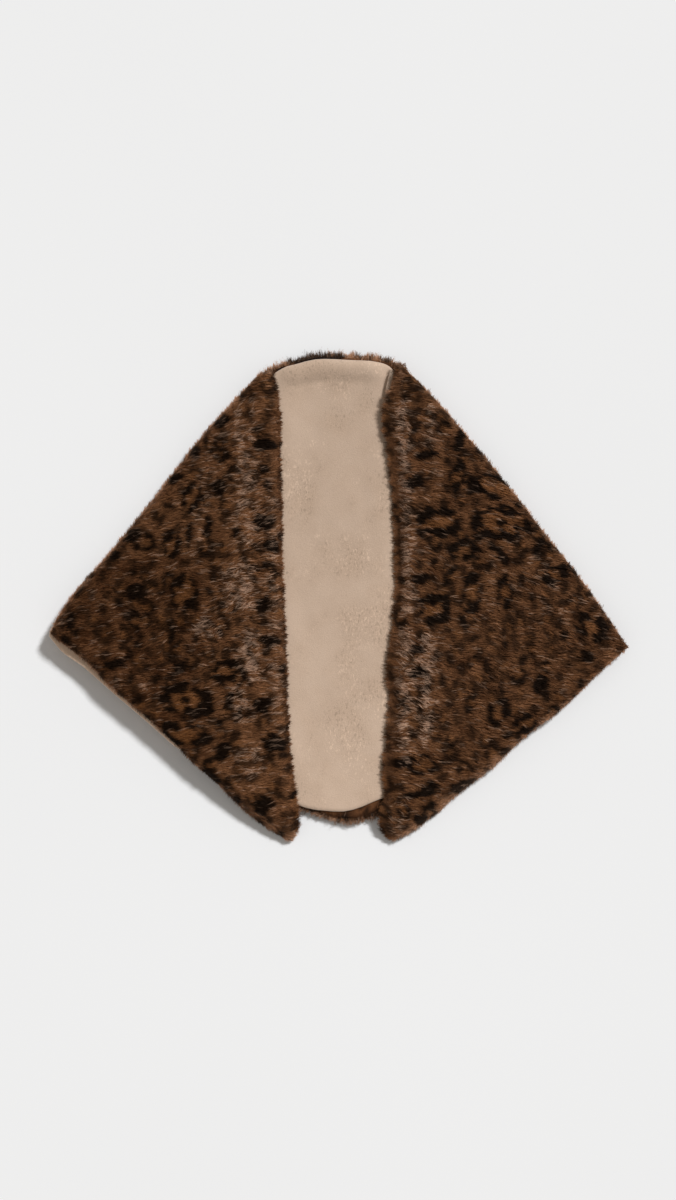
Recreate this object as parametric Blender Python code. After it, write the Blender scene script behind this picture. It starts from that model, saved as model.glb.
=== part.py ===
"""Faux fur hooded scarf, lined with short plush, laid flat with both fronts folded in.

Metres, +Z up. The scarf is one long, low triangle of fur sewn to a lining of the same cut. It lies fur side
down on a flat surface at z = 0. +X runs to the right and +Y towards the face edge, the side that frames the
face when the scarf is worn as a hood. Each end is folded in over the back along a slanting line, so that its
fur faces up and a strip of lining stays bare down the middle.

Each stretch of cloth is one closed solid. The fur solids reach as far as the pile does.
"""

import math
from collections import namedtuple

import bmesh
import bpy

COLLECTION_NAME = "faux_fur_hooded_scarf"

# Thickness of each layer, and the gap that neighbouring layers keep.
GAP = 0.0003
EXTRA_GAP = 0.0003
FUR_UNDER = 0.012
LINING = 0.0025
FUR_OVER = 0.013

# The stack where the layers lie flat, from the table up.
BACK_LINING_LOW = FUR_UNDER + GAP
BACK_LINING_TOP = BACK_LINING_LOW + LINING
FRONT_REST = BACK_LINING_TOP + GAP
UNDER_FRONT_FUR = LINING + GAP
FOLD_DROP = FRONT_REST + UNDER_FRONT_FUR - FUR_UNDER - GAP

# Outline of the back, as rows of (x, y). Its two slanting sides are the folds of the fronts.
LEFT_CORNER = (-0.376, -0.0465)
RIGHT_CORNER = (0.376, -0.0665)
LEFT_FOLD = (
    LEFT_CORNER,
    (-0.351, -0.004),
    (-0.299, 0.056),
    (-0.247, 0.120),
    (-0.171, 0.217),
    (-0.123, 0.269),
)
FACE_EDGE = (
    (-0.102, 0.2900),
    (-0.088, 0.2980),
    (-0.065, 0.3065),
    (-0.034, 0.3155),
    (0.004, 0.3158),
    (0.050, 0.3115),
    (0.070, 0.3060),
    (0.081, 0.2985),
)
RIGHT_FOLD = (
    (0.117, 0.2670),
    (0.168, 0.2080),
    (0.219, 0.1465),
    (0.263, 0.0890),
    (0.323, 0.0125),
    RIGHT_CORNER,
)
# The lower side runs straight in from each corner to the nape, which hangs a little lower on the right.
NAPE = (
    (-0.1400, -0.2410),
    (-0.0950, -0.2630),
    (-0.0540, -0.2755),
    (-0.0250, -0.2850),
    (0.0020, -0.2935),
    (0.0220, -0.2940),
    (0.0460, -0.2870),
    (0.0800, -0.2740),
    (0.1320, -0.2490),
)
HEM_SLOPE = math.radians(38)

# Rim of the back's fur: (how far in from the outline, height). Under a fold the rim is a little steeper.
RIM_FLAT_BELOW = 0.008
RIM_LOW = (0.0020, 0.0030)
RIM_WIDEST = 0.0070
RIM_WIDEST_RISE_UNDER_FOLD = 0.001
RIM_HIGH = (0.0012, 0.0105)
RIM_FLAT_ABOVE = 0.006
RIM_FLAT_ABOVE_UNDER_FOLD = 0.0016
RIM_TO_LINING = 0.0009

# How far in from the outline the back's lining stops, as rows of (x, distance). Its corners beside the fronts
# are square and nearly reach the outline. At the nape it is pulled to the left edge of the pile.
LINING_IN_AT_FOLD = 0.014
LINING_IN_ABOVE = (
    (-0.094, LINING_IN_AT_FOLD),
    (-0.084, 0.0085),
    (-0.069, 0.0062),
    (-0.052, 0.0080),
    (0.020, 0.0085),
    (0.044, 0.0070),
    (0.059, 0.0074),
    (0.067, 0.0090),
    (0.076, LINING_IN_AT_FOLD),
)
LINING_IN_BELOW = (
    (-0.100, 0.0100),
    (-0.060, 0.0030),
    (-0.038, 0.0030),
    (-0.025, 0.0055),
    (0.000, 0.0120),
    (0.020, 0.0165),
    (0.050, 0.0190),
    (0.066, 0.0190),
    (0.110, 0.0100),
)

# The seam of the face edge is turned, which puffs it up into a soft roll along the bare strip.
# Rows of (distance from the lining's edge, rise).
FACE_ROLL = (
    (0.000, 0.0015),
    (0.004, 0.0044),
    (0.010, 0.0058),
    (0.018, 0.0046),
    (0.028, 0.0012),
    (0.040, 0.0000),
)
FACE_ROLL_WIDTH = FACE_ROLL[-1][0]
FACE_ROLL_LEFT = -0.080
FACE_ROLL_RIGHT = 0.066
FACE_ROLL_FADE = 0.024

# The edge of a front's fur rounds down over this width, through points at these shares of it.
FRONT_ROUND = 0.017
ROUND_STEPS = (0.07, 0.24, 0.53, 1.0)
END_HEIGHT_SHARE = 0.35
WIDEST_ABOVE_LOW = 0.0035
UNDERCUT = 0.0020

# At a fold, and along an inner edge, the fur reaches down round the lining's edge.
WRAP_WIDTH = 0.012
WRAP_STEP = 0.0006
LINING_IN_WRAP = 0.0135

# Past the back's hem a front sinks to the table.
BEYOND_HEM = 0.0015
DROOP_LENGTH = 0.034
TIP_CLEARANCE = 0.0004

# A front's lift off the back fades out between its edge and these shares of its width.
INNER_LIFT_TO = 0.40
OUTER_LIFT_FROM = 0.35
RIDGE_FULLNESS = 0.7

# Where a section is short, each of these takes at most this share of it.
LINING_INSET_SHARE = 0.35
FACE_ROLL_SHARE = 0.60
RIM_SHARE = 0.30
WRAP_SHARE = 0.36
ROUND_SHARE = 0.44

# A front is described from the middle of the scarf outwards: "out" is its distance from x = 0.
Front = namedtuple(
    "Front",
    "name side top corner tip inner fold hem fur_drop_in fur_drop_out fur_in_at_hem"
    " lining_in_inner lining_in_outer lift_inner lift_outer ridges",
)
Ridge = namedtuple("Ridge", "out_top y_top out_low y_low half_width height")
Section = namedtuple("Section", "y inner outer slant narrow drop_in drop_out end_share")

# All rows below are (y, value).
LEFT_FRONT = Front(
    name="left_front",
    side=-1,
    top=0.290,
    corner=LEFT_CORNER[1],
    tip=-0.3165,
    inner=(
        (-0.3165, 0.063),
        (-0.306, 0.055),
        (-0.285, 0.053),
        (-0.207, 0.063),
        (-0.099, 0.068),
        (0.031, 0.073),
        (0.152, 0.0755),
        (0.281, 0.083),
        (0.290, 0.087),
    ),
    fold=tuple((y, -x) for x, y in LEFT_FOLD) + ((0.290, 0.1025),),
    hem=(
        (-0.3165, 0.070),
        (-0.306, 0.089),
        (-0.286, 0.117),
        (-0.244, 0.159),
        (-0.205, 0.203),
        (-0.161, 0.252),
        (-0.120, 0.300),
        (-0.090, 0.334),
        (-0.076, 0.3555),
        (-0.066, 0.3695),
        (-0.057, 0.3750),
        (LEFT_CORNER[1], 0.376),
    ),
    # Along the upper part of the left hem the fur stops short of the lining, which shows there.
    fur_drop_in=((-1.0, UNDER_FRONT_FUR), (1.0, UNDER_FRONT_FUR)),
    fur_drop_out=(
        (-0.236, UNDER_FRONT_FUR),
        (-0.216, -EXTRA_GAP),
        (-0.188, -EXTRA_GAP),
        (-0.170, 0.0),
        (-0.028, 0.0),
        (0.000, FOLD_DROP),
    ),
    fur_in_at_hem=(
        (-0.216, 0.0),
        (-0.200, 0.0030),
        (-0.150, 0.0045),
        (-0.122, 0.0035),
        (-0.100, 0.0055),
        (-0.085, 0.0080),
        (-0.070, 0.0095),
        (-0.057, 0.0080),
        (LEFT_CORNER[1], 0.0020),
        (-0.028, 0.0),
    ),
    lining_in_inner=((-1.0, LINING_IN_WRAP), (1.0, LINING_IN_WRAP)),
    lining_in_outer=(
        (-0.216, LINING_IN_WRAP),
        (-0.196, 0.0),
        (-0.040, 0.0),
        (-0.028, LINING_IN_WRAP),
    ),
    lift_inner=((-0.30, 0.0), (-0.10, 0.001), (0.20, 0.0)),
    lift_outer=(
        (-0.310, 0.0),
        (-0.260, 0.003),
        (-0.200, 0.0075),
        (-0.120, 0.009),
        (-0.046, 0.0075),
        (0.000, 0.002),
        (0.040, 0.0),
    ),
    ridges=(
        Ridge(0.138, 0.230, 0.116, -0.150, 0.024, 0.0045),
        Ridge(0.165, 0.060, 0.178, -0.090, 0.024, 0.0035),
        Ridge(0.205, 0.150, 0.262, -0.080, 0.030, 0.0020),
        Ridge(0.082, 0.240, 0.074, -0.240, 0.014, 0.0020),
        Ridge(0.150, -0.130, 0.096, -0.280, 0.022, 0.0030),
    ),
)

RIGHT_FRONT = Front(
    name="right_front",
    side=1,
    top=0.302,
    corner=RIGHT_CORNER[1],
    tip=-0.3160,
    inner=(
        (-0.3160, 0.065),
        (-0.306, 0.0575),
        (-0.287, 0.0515),
        (-0.265, 0.0585),
        (-0.230, 0.0580),
        (-0.174, 0.0625),
        (-0.135, 0.0670),
        (-0.105, 0.0630),
        (-0.077, 0.0640),
        (-0.044, 0.0690),
        (-0.012, 0.0730),
        (0.073, 0.0730),
        (0.118, 0.0710),
        (0.190, 0.0640),
        (0.216, 0.0590),
        (0.241, 0.0570),
        (0.262, 0.0615),
        (0.286, 0.0670),
        (0.302, 0.0715),
    ),
    fold=tuple((y, x) for x, y in reversed(RIGHT_FOLD)) + ((0.302, 0.0800),),
    hem=(
        (-0.3160, 0.073),
        (-0.306, 0.094),
        (-0.286, 0.127),
        (-0.267, 0.144),
        (-0.229, 0.194),
        (-0.182, 0.244),
        (-0.143, 0.295),
        (-0.103, 0.335),
        (RIGHT_CORNER[1], 0.376),
    ),
    # At the top of the inner edge the plush turns up past the fur and shows.
    fur_drop_in=((0.222, UNDER_FRONT_FUR), (0.240, 0.0)),
    fur_drop_out=((-0.034, UNDER_FRONT_FUR), (-0.012, FOLD_DROP)),
    fur_in_at_hem=((-1.0, 0.0), (1.0, 0.0)),
    lining_in_inner=((0.240, LINING_IN_WRAP), (0.256, 0.0), (0.270, -0.003), (0.302, -0.006)),
    lining_in_outer=((-1.0, LINING_IN_WRAP), (1.0, LINING_IN_WRAP)),
    lift_inner=(
        (-0.290, 0.0),
        (-0.240, 0.0025),
        (-0.174, 0.0035),
        (-0.135, 0.0010),
        (-0.092, 0.0040),
        (-0.044, 0.0020),
        (-0.012, 0.0005),
        (0.118, 0.0005),
        (0.160, 0.0030),
        (0.230, 0.0060),
        (0.302, 0.0060),
    ),
    lift_outer=((-1.0, 0.0), (1.0, 0.0)),
    ridges=(
        Ridge(0.086, 0.240, 0.082, -0.250, 0.016, 0.0030),
        Ridge(0.124, 0.265, 0.126, 0.120, 0.016, 0.0035),
        Ridge(0.120, -0.020, 0.116, -0.180, 0.020, 0.0035),
        Ridge(0.190, 0.140, 0.215, -0.150, 0.032, 0.0020),
        Ridge(0.270, 0.050, 0.300, -0.110, 0.028, 0.0018),
    ),
)

# Resolution of the sections.
SIDE_SECTIONS = 13
MIDDLE_SECTIONS = 13
LINING_CORNER_SECTIONS = [-0.094, -0.090, -0.086, -0.074, 0.060, 0.071, 0.076]
BACK_END_STEPS = (0.004, 0.012)
BACK_SIDE_FROM = 0.026
BACK_DECK_POINTS = 7
FRONT_SECTION_STEP = 0.0170
FRONT_CLEAR_SHARE = 0.4
FRONT_DECK_POINTS = 8
LAST_DECK_SHARE = 0.3
FRONT_TOP_POINTS = 13
CORNER_STEP = 0.0065
END_STEPS = (0.0, 0.003, 0.009)
SLOPE_STEP = 0.002

# The linings stop this many sections short of the tips.
LINING_SHORT_BY = 2

# Colours are linear. Each row is (colour, roughness, metallic).
FUR_FINISH = ((0.075, 0.035, 0.017, 1.0), 0.75, 0.0)
LINING_FINISH = ((0.55, 0.41, 0.31, 1.0), 0.90, 0.0)
FACET_ANGLE = math.radians(50)


def clear_scene():
    for thing in list(bpy.data.objects):
        bpy.data.objects.remove(thing, do_unlink=True)


def finish(name, colour, roughness, metallic):
    material = bpy.data.materials.new(name)
    material.use_nodes = True
    shader = material.node_tree.nodes["Principled BSDF"]
    shader.inputs["Base Color"].default_value = colour
    shader.inputs["Roughness"].default_value = roughness
    shader.inputs["Metallic"].default_value = metallic
    return material


def straight(rows, at):
    """The value at one place on straight lines through rows of (place, value)."""
    if at <= rows[0][0]:
        return rows[0][1]
    for (low, first), (high, second) in zip(rows, rows[1:]):
        if at <= high:
            return first + (second - first) * (at - low) / (high - low)
    return rows[-1][1]


def smooth(rows, at):
    """The value at one place on a smooth curve through rows of (place, value)."""
    at = min(max(at, rows[0][0]), rows[-1][0])
    slopes = [(b[1] - a[1]) / (b[0] - a[0]) for a, b in zip(rows, rows[1:])]
    turns = [slopes[0]] + [(a + b) / 2 for a, b in zip(slopes, slopes[1:])] + [slopes[-1]]
    i = max(k for k in range(len(rows) - 1) if rows[k][0] <= at)
    (low, first), (high, second) = rows[i], rows[i + 1]
    span = high - low
    t = (at - low) / span
    lead = (1 + 2 * t) * (1 - t) ** 2 * first + t * (1 - t) ** 2 * span * turns[i]
    return lead + t * t * (3 - 2 * t) * second - t * t * (1 - t) * span * turns[i + 1]


def ease(t):
    """0 below 0, 1 above 1 and an S-curve between."""
    t = min(max(t, 0.0), 1.0)
    return t * t * (3 - 2 * t)


def round_over(t):
    """Height of a quarter circle, from 0 at its edge to 1 where it turns flat."""
    return math.sqrt(1 - (1 - min(max(t, 0.0), 1.0)) ** 2)


def spread(first, last, count):
    return [first + (last - first) * k / (count - 1) for k in range(count)]


# The back: sections across X, each from the lower side to the face edge or fold.


def back_upper(x):
    return smooth(LEFT_FOLD + FACE_EDGE + RIGHT_FOLD, x)


def back_lower(x):
    if NAPE[0][0] < x < NAPE[-1][0]:
        return smooth(NAPE, x)
    return straight((LEFT_CORNER, NAPE[0], NAPE[-1], RIGHT_CORNER), x)


def across_y(edge, x):
    """How far along Y one metre square to the edge reaches, at x."""
    slope = (edge(x + SLOPE_STEP) - edge(x - SLOPE_STEP)) / (2 * SLOPE_STEP)
    return math.hypot(1, slope)


def over_face(x):
    """1 along the bare strip at the face edge, and 0 under the fronts."""
    left = ease((x - FACE_ROLL_LEFT) / FACE_ROLL_FADE)
    right = ease((FACE_ROLL_RIGHT - x) / FACE_ROLL_FADE)
    return left * right


def back_sections():
    left, right = LEFT_CORNER[0], RIGHT_CORNER[0]
    places = [left + step for step in BACK_END_STEPS]
    places += spread(left + BACK_SIDE_FROM, FACE_ROLL_LEFT, SIDE_SECTIONS)
    places += spread(FACE_ROLL_LEFT, FACE_ROLL_RIGHT, MIDDLE_SECTIONS)[1:-1]
    places += spread(FACE_ROLL_RIGHT, right - BACK_SIDE_FROM, SIDE_SECTIONS)
    places += LINING_CORNER_SECTIONS
    return sorted(places + [right - step for step in BACK_END_STEPS])


def back_deck(x):
    """The lining's rows at x, as (y, rise), from the hem to the face edge."""
    upper, lower = back_upper(x), back_lower(x)
    share = over_face(x)
    room = LINING_INSET_SHARE * (upper - lower)
    last = upper - min(straight(LINING_IN_ABOVE, x) * across_y(back_upper, x), room)
    first = lower + min(straight(LINING_IN_BELOW, x) * across_y(back_lower, x), room)
    roll = min(FACE_ROLL_WIDTH, FACE_ROLL_SHARE * (last - first))
    rows = [(y, 0.0) for y in spread(first, last - roll, BACK_DECK_POINTS)][:-1]
    for distance, rise in reversed(FACE_ROLL):
        rows.append((last - distance * roll / FACE_ROLL_WIDTH, rise * share))
    return rows


def back_fur_ring(x):
    upper, lower = back_upper(x), back_lower(x)
    up, low = across_y(back_upper, x), across_y(back_lower, x)
    squeeze = min(1.0, RIM_SHARE * (upper - lower) / (RIM_FLAT_BELOW * max(up, low)))
    up, low = up * squeeze, low * squeeze
    share = over_face(x)
    flat_above = RIM_FLAT_ABOVE * share + RIM_FLAT_ABOVE_UNDER_FOLD * (1 - share)
    flat_above = min(flat_above, straight(LINING_IN_ABOVE, x) - RIM_TO_LINING)
    flat_below = min(RIM_FLAT_ABOVE, straight(LINING_IN_BELOW, x) - RIM_TO_LINING)
    ring = [
        (lower + RIM_FLAT_BELOW * low, 0.0),
        (lower + RIM_LOW[0] * low, RIM_LOW[1]),
        (lower, RIM_WIDEST),
        (lower + RIM_HIGH[0] * low, RIM_HIGH[1]),
        (lower + flat_below * low, FUR_UNDER),
    ]
    ring += [(y, FUR_UNDER + rise) for y, rise in back_deck(x)]
    ring += [
        (upper - flat_above * up, FUR_UNDER),
        (upper - RIM_HIGH[0] * share * up, RIM_HIGH[1]),
        (upper, RIM_WIDEST + RIM_WIDEST_RISE_UNDER_FOLD * (1 - share)),
        (upper - RIM_LOW[0] * up, RIM_LOW[1]),
        (upper - RIM_FLAT_BELOW * up, 0.0),
    ]
    return [(x, y, z) for y, z in ring]


def back_lining_ring(x):
    deck = back_deck(x)
    low = [(x, y, BACK_LINING_LOW + rise) for y, rise in deck]
    top = [(x, y, BACK_LINING_TOP + rise) for y, rise in deck]
    return low + top[::-1]


# The fronts: sections across Y, each from the inner edge out to the fold or hem.


def outer_edge(front, y):
    return smooth(front.fold if y > front.corner else front.hem, y)


def inner_edge(front, y):
    return smooth(front.inner, y)


def outer_slant(front, y):
    """How far outwards one metre square to the outer edge reaches, at y."""
    near = y + SLOPE_STEP if y > front.corner else y - SLOPE_STEP
    slope = (outer_edge(front, near) - outer_edge(front, y)) / SLOPE_STEP
    return math.hypot(1, slope)


def front_stations(front):
    """Evenly spaced sections, with others where an edge turns or changes."""
    turns = [front.top - step for step in END_STEPS] + [front.tip + step for step in END_STEPS]
    turns += [front.corner - CORNER_STEP, front.corner, front.corner + CORNER_STEP]
    changes = front.fur_drop_in + front.fur_drop_out + front.lining_in_inner + front.lining_in_outer
    turns += [y for y, _ in changes if front.tip < y < front.top]
    turns = sorted(set(turns))
    count = round((front.top - front.tip) / FRONT_SECTION_STEP)
    places = spread(front.tip, front.top, count)
    clear = FRONT_CLEAR_SHARE * FRONT_SECTION_STEP
    return sorted(turns + [y for y in places if min(abs(y - turn) for turn in turns) > clear])


def rest_height(front, out, y):
    """What a front's lining lies on: the stack below it, or the table beyond the back's hem."""
    inner, outer = inner_edge(front, y), outer_edge(front, y)
    share = min(max((out - inner) / (outer - inner), 0.0), 1.0)
    lift = straight(front.lift_inner, y) * (1 - ease(share / INNER_LIFT_TO))
    lift += straight(front.lift_outer, y) * ease((share - OUTER_LIFT_FROM) / (1 - OUTER_LIFT_FROM))
    beyond = (back_lower(front.side * out) - y) * math.cos(HEM_SLOPE) - BEYOND_HEM
    droop = (FRONT_REST - TIP_CLEARANCE) * ease(beyond / DROOP_LENGTH)
    return FRONT_REST + lift - droop


def ridge_rise(front, out, y):
    """Height that the soft folds lying in a front's fur add."""
    rise = 0.0
    for ridge in front.ridges:
        along = (ridge.y_top - y) / (ridge.y_top - ridge.y_low)
        if not 0 < along < 1:
            continue
        middle = ridge.out_top + (ridge.out_low - ridge.out_top) * along
        aside = abs(out - middle) / ridge.half_width
        rise += ridge.height * math.sin(math.pi * along) ** RIDGE_FULLNESS * (1 - ease(aside))
    return rise


def fur_low(front, out, y):
    return rest_height(front, out, y) + UNDER_FRONT_FUR


def fur_top(front, section, out):
    """Height of the fur's upper side, rounded down to both edges and towards both ends."""
    low = fur_low(front, out, section.y)
    top = low + FUR_OVER + ridge_rise(front, out, section.y)
    at_inner = low - section.drop_in + WIDEST_ABOVE_LOW
    at_outer = low - section.drop_out + WIDEST_ABOVE_LOW
    from_inner = round_over((out - section.inner) / (FRONT_ROUND * section.narrow))
    from_outer = round_over((section.outer - out) / (FRONT_ROUND * section.narrow * section.slant))
    rounded = min(
        at_inner + (top - at_inner) * from_inner,
        at_outer + (top - at_outer) * from_outer,
    )
    floor = max(at_inner, at_outer)
    lowest = at_inner if from_inner < from_outer else at_outer
    return max(lowest, floor + (rounded - floor) * section.end_share)


def front_deck(front, y):
    """The places across a section that the lining and the fur's underside share."""
    inner, outer = inner_edge(front, y), outer_edge(front, y)
    slant = outer_slant(front, y)
    squeeze = min(1.0, WRAP_SHARE * (outer - inner) / (WRAP_WIDTH * slant))
    first = inner + (WRAP_WIDTH + WRAP_STEP) * squeeze
    last = outer - (WRAP_WIDTH + WRAP_STEP) * slant * squeeze
    deck = spread(first, last, FRONT_DECK_POINTS)
    deck.insert(-1, last - (last - deck[-2]) * LAST_DECK_SHARE)
    return deck, squeeze, slant


def front_fur_ring(front, y):
    deck, squeeze, slant = front_deck(front, y)
    inner = inner_edge(front, y)
    outer = outer_edge(front, y) - straight(front.fur_in_at_hem, y) * slant * squeeze
    to_end = min(front.top - y, y - front.tip)
    section = Section(
        y=y,
        inner=inner,
        outer=outer,
        slant=slant,
        narrow=min(1.0, ROUND_SHARE * (outer - inner) / (FRONT_ROUND * slant)),
        drop_in=straight(front.fur_drop_in, y),
        drop_out=straight(front.fur_drop_out, y),
        end_share=END_HEIGHT_SHARE + (1 - END_HEIGHT_SHARE) * round_over(to_end / FRONT_ROUND),
    )
    width = FRONT_ROUND * section.narrow
    near = [inner] + [inner + width * step for step in ROUND_STEPS]
    far = [outer - width * slant * step for step in reversed(ROUND_STEPS)] + [outer]
    middle = spread(near[-1], far[0], FRONT_TOP_POINTS + 2)[1:-1]
    ring = [(out, fur_top(front, section, out)) for out in near + middle + far]

    undercut_in = inner + UNDERCUT * squeeze
    undercut_out = outer - UNDERCUT * slant * squeeze
    wrap_in = deck[0] - WRAP_STEP * squeeze
    wrap_out = deck[-1] + WRAP_STEP * slant * squeeze
    ring += [
        (undercut_out, fur_low(front, outer, y) - section.drop_out),
        (wrap_out, fur_low(front, wrap_out, y) - section.drop_out),
    ]
    ring += [(out, fur_low(front, out, y)) for out in reversed(deck)]
    ring += [
        (wrap_in, fur_low(front, wrap_in, y) - section.drop_in),
        (undercut_in, fur_low(front, inner, y) - section.drop_in),
    ]
    return [(front.side * out, y, z) for out, z in ring]


def front_lining_ring(front, y):
    deck, squeeze, slant = front_deck(front, y)
    inner = inner_edge(front, y) + straight(front.lining_in_inner, y) * squeeze
    outer = outer_edge(front, y) - straight(front.lining_in_outer, y) * slant * squeeze
    places = [inner] + deck[1:-1] + [outer]
    low = [(front.side * out, y, rest_height(front, out, y)) for out in places]
    top = [(x, y, z + LINING) for x, y, z in low]
    return low + top[::-1]


def loft(name, rings, material, collection):
    """One closed solid through rings of equally many points, with the sides split alike throughout."""
    mesh = bpy.data.meshes.new(name)
    form = bmesh.new()
    rows = [[form.verts.new(point) for point in ring] for ring in rings]
    for near, far in zip(rows, rows[1:]):
        for k in range(len(near)):
            a, b = near[k - 1], near[k]
            c, d = far[k], far[k - 1]
            rising = (b.co.x - a.co.x) + (b.co.y - a.co.y) > 0
            halves = ((a, b, c), (a, c, d)) if rising else ((b, c, d), (b, d, a))
            for half in halves:
                form.faces.new(half)
    form.faces.new(rows[0][::-1])
    form.faces.new(rows[-1])
    bmesh.ops.recalc_face_normals(form, faces=form.faces)
    form.to_mesh(mesh)
    form.free()
    mesh.shade_smooth()
    mesh.set_sharp_from_angle(angle=FACET_ANGLE)
    mesh.materials.append(material)
    solid = bpy.data.objects.new(name, mesh)
    collection.objects.link(solid)


def make_back(fur, lining, collection):
    places = back_sections()
    inside = places[LINING_SHORT_BY:-LINING_SHORT_BY]
    loft("back_fur", [back_fur_ring(x) for x in places], fur, collection)
    loft("back_lining", [back_lining_ring(x) for x in inside], lining, collection)


def make_front(front, fur, lining, collection):
    places = front_stations(front)
    inside = places[LINING_SHORT_BY:-LINING_SHORT_BY]
    loft(front.name + "_fur", [front_fur_ring(front, y) for y in places], fur, collection)
    loft(front.name + "_lining", [front_lining_ring(front, y) for y in inside], lining, collection)


def main():
    clear_scene()
    collection = bpy.data.collections.new(COLLECTION_NAME)
    bpy.context.scene.collection.children.link(collection)
    fur = finish("fur", *FUR_FINISH)
    lining = finish("lining", *LINING_FINISH)
    make_back(fur, lining, collection)
    make_front(LEFT_FRONT, fur, lining, collection)
    make_front(RIGHT_FRONT, fur, lining, collection)


if __name__ == "__main__":
    main()
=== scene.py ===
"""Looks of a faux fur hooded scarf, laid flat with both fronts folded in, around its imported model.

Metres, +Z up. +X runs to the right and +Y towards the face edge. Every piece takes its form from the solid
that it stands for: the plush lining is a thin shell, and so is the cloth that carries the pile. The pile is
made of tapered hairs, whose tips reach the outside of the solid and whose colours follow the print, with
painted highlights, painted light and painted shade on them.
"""

import math
from collections import namedtuple

import bmesh
import bpy
import numpy as np
from bpy.props import FloatProperty, FloatVectorProperty, IntProperty, PointerProperty
from bpy.types import Operator, Panel, PropertyGroup
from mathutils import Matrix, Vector
from mathutils.bvhtree import BVHTree


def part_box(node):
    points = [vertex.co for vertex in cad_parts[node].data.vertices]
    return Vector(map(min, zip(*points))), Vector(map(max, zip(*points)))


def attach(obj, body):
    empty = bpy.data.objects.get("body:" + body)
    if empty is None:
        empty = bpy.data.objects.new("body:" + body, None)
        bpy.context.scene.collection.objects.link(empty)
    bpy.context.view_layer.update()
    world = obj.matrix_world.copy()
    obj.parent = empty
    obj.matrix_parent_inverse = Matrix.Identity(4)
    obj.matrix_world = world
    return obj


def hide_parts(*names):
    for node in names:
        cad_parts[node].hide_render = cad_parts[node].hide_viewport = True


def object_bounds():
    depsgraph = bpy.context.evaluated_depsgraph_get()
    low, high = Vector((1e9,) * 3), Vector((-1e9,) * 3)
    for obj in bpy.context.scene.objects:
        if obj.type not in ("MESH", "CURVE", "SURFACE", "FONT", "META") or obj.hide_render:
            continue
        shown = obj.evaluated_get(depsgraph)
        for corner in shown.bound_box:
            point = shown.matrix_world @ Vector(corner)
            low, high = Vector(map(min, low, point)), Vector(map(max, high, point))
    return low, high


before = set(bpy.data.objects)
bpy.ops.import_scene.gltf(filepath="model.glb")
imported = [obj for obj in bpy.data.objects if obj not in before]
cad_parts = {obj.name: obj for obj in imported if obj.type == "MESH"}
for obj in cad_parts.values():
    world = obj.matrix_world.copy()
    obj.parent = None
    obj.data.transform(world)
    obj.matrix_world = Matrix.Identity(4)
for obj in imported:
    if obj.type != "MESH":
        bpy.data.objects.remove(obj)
cad_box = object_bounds()

bl_info = {
    "name": "Faux Fur Hooded Scarf",
    "version": (1, 0, 0),
    "blender": (4, 5, 0),
    "location": "3D View > Sidebar > Scarf",
    "description": "Builds the lining, cloth and pile of a laid faux fur hooded scarf",
    "category": "Object",
}

BODY = "root"
MM = 0.001

# What the photograph's frame covers, and where its middle lies on the scarf.
PICTURE_LONG_SIDE = 1.56
PICTURE_MIDDLE = (-0.0017, -0.0052)
SHARP_HEIGHT = 0.016
SENSOR = 36.0
FLOOR_SIZE = 40.0
KEY_COLOUR = (0.975, 0.99, 1.0)
FILL_COLOUR = (1.0, 0.96, 0.90, 1.0)

# The fronts' hairs point to the face edge, which is folded inwards, and the back's hairs point up the back.
LEFT_NAP = math.radians(10)
RIGHT_NAP = math.radians(168)
BACK_NAP = math.radians(90)

# Triangles of fine form are spent where they show: the bare strip of lining between the fronts.
STRIP_LEFT = -0.100
STRIP_RIGHT = 0.100
STRIP_LOW = -0.255
STRIP_HIGH = 0.260
STRIP_STEP = 0.0035
HIDDEN_STEP = 0.012
LINING_STEP = 0.0042
CLOTH_STEP = 0.0065

# Dents in the lining, in millimetres: a trough of that depth and half width along a line, faded at its
# ends.
Dent = namedtuple("Dent", "x_from y_from x_to y_to half_width depth")
LINING_DENTS = (
    Dent(-66, 272, -12, 280, 3.0, 1.0),
    Dent(-8, 281, 34, 277, 4.0, 0.5),
    Dent(-60, 62, -8, 60, 6.0, 0.30),
    Dent(-6, -57, 58, -62, 5.5, 0.30),
    Dent(-60, 20, -38, -36, 7.0, 0.35),
    Dent(30, 150, 44, 60, 8.0, 0.40),
    Dent(-30, -210, 10, -236, 7.0, 0.35),
)

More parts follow.
